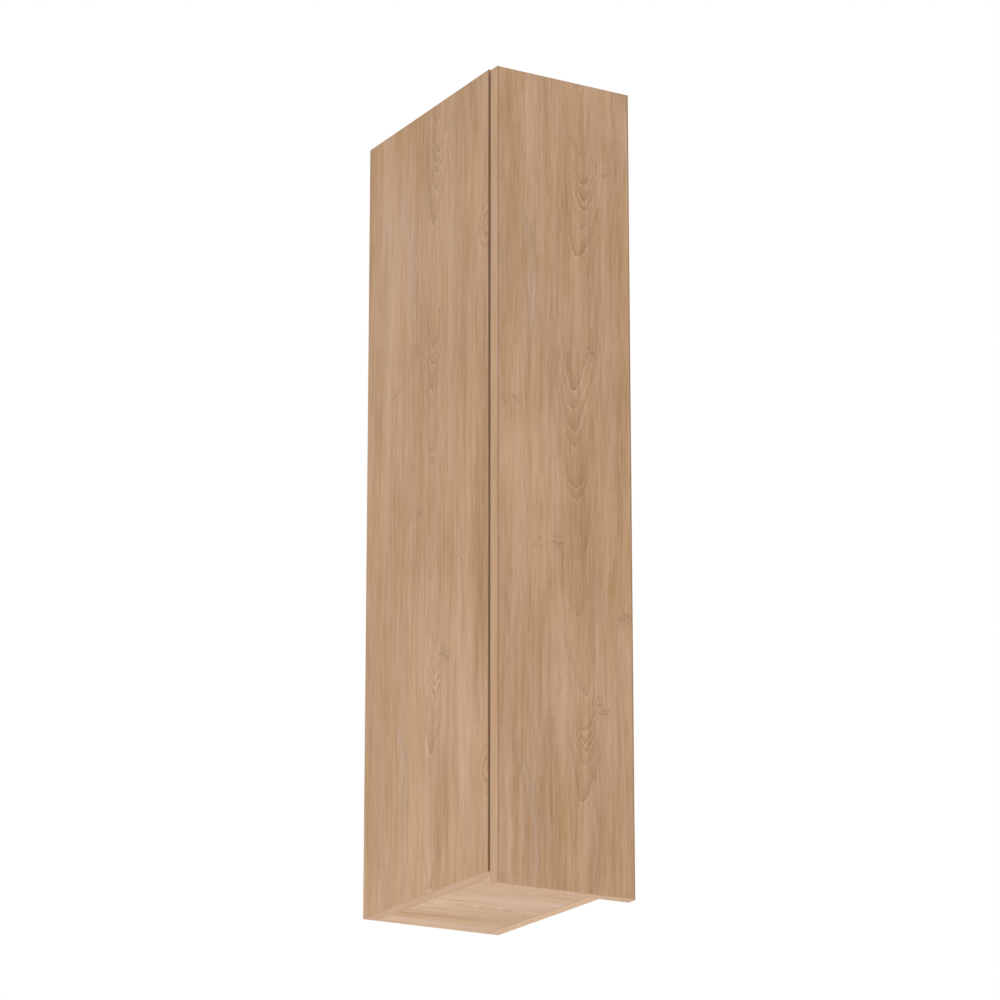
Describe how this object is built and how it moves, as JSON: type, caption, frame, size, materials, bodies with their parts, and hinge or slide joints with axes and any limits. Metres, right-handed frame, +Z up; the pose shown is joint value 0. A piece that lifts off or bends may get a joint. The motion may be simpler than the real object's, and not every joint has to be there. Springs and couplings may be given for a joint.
{
  "type": "wall-hung tall cabinet",
  "caption": "Tall narrow wall-hung storage cabinet with one full-overlay slab door on concealed hinges, shelves inside and hidden wall hangers.",
  "frame": {"origin": "on the wall plane, at the middle of the lower rear edge of the carcass", "axes": "+Z up, +Y into the wall, +X to the right seen from the room"},
  "size_m": [0.2, 0.3405, 1.074],
  "materials": {
    "carcass_decor": "matt light oak decor, grain upright",
    "door_decor": "matt light oak decor, grain upright",
    "edge_band": "matt oak-coloured edge band",
    "back_board": "thin board with printed oak face",
    "dowel_wood": "fluted beech",
    "zinc_steel": "zinc-plated sheet",
    "zinc_casting": "die-cast zinc",
    "nickel_steel": "nickel-plated steel",
    "pale_plastic": "moulded light grey plastic",
    "bumper": "translucent soft bumper"
  },
  "bodies": {
    "carcass": {"back_panel": "back_board", "bottom_panel": "carcass_decor", "bottom_panel_front_band": "edge_band", "cam_bolts": "nickel_steel", "cam_cover_caps": "pale_plastic", "cam_locks": "zinc_casting", "dowels": "dowel_wood", "hinge_arm_pins": "nickel_steel", "hinge_arm_screws": "nickel_steel", "hinge_plate_screws": "nickel_steel", "left_hanger_cover": "pale_plastic", "left_hanger_hook": "zinc_steel", "left_hanger_housing": "pale_plastic", "left_hanger_screws": "nickel_steel", "left_side_edge_bands": "edge_band", "left_side_panel": "carcass_decor", "lower_hinge_arm": "nickel_steel", "lower_hinge_mounting_plate": "nickel_steel", "lower_shelf": "carcass_decor", "lower_shelf_front_band": "edge_band", "middle_hinge_arm": "nickel_steel", "middle_hinge_mounting_plate": "nickel_steel", "middle_shelf": "carcass_decor", "middle_shelf_front_band": "edge_band", "right_hanger_cover": "pale_plastic", "right_hanger_hook": "zinc_steel", "right_hanger_housing": "pale_plastic", "right_hanger_screws": "nickel_steel", "right_side_edge_bands": "edge_band", "right_side_panel": "carcass_decor", "shelf_pins": "nickel_steel", "top_panel": "carcass_decor", "top_panel_front_band": "edge_band", "upper_hinge_arm": "nickel_steel", "upper_hinge_mounting_plate": "nickel_steel", "upper_shelf": "carcass_decor", "upper_shelf_front_band": "edge_band", "wall_rail": "zinc_steel"},
    "hinge_links": {"lower_hinge_link": "nickel_steel", "middle_hinge_link": "nickel_steel", "upper_hinge_link": "nickel_steel"},
    "door": {"door_panel": "door_decor", "door_edge_bands": "edge_band", "door_bumpers": "bumper", "lower_hinge_cup": "nickel_steel", "middle_hinge_cup": "nickel_steel", "upper_hinge_cup": "nickel_steel", "hinge_cup_pins": "nickel_steel", "hinge_cup_screws": "nickel_steel"}
  },
  "joints": [
    {"name": "hinge_link_turn", "type": "hinge", "parent": "carcass", "child": "hinge_links", "pos_m": [0.07, -0.3224, 0.528], "axis": [0, 0, 1], "range_deg": [-24, 0]},
    {"name": "door_turn", "type": "hinge", "parent": "hinge_links", "child": "door", "pos_m": [0.0883, -0.3303, 0.528], "axis": [0, 0, 1], "range_deg": [0, 120]}
  ],
  "couplings": [
    {"joint": "hinge_link_turn", "follows": "door_turn", "ratio": -0.2}
  ]
}
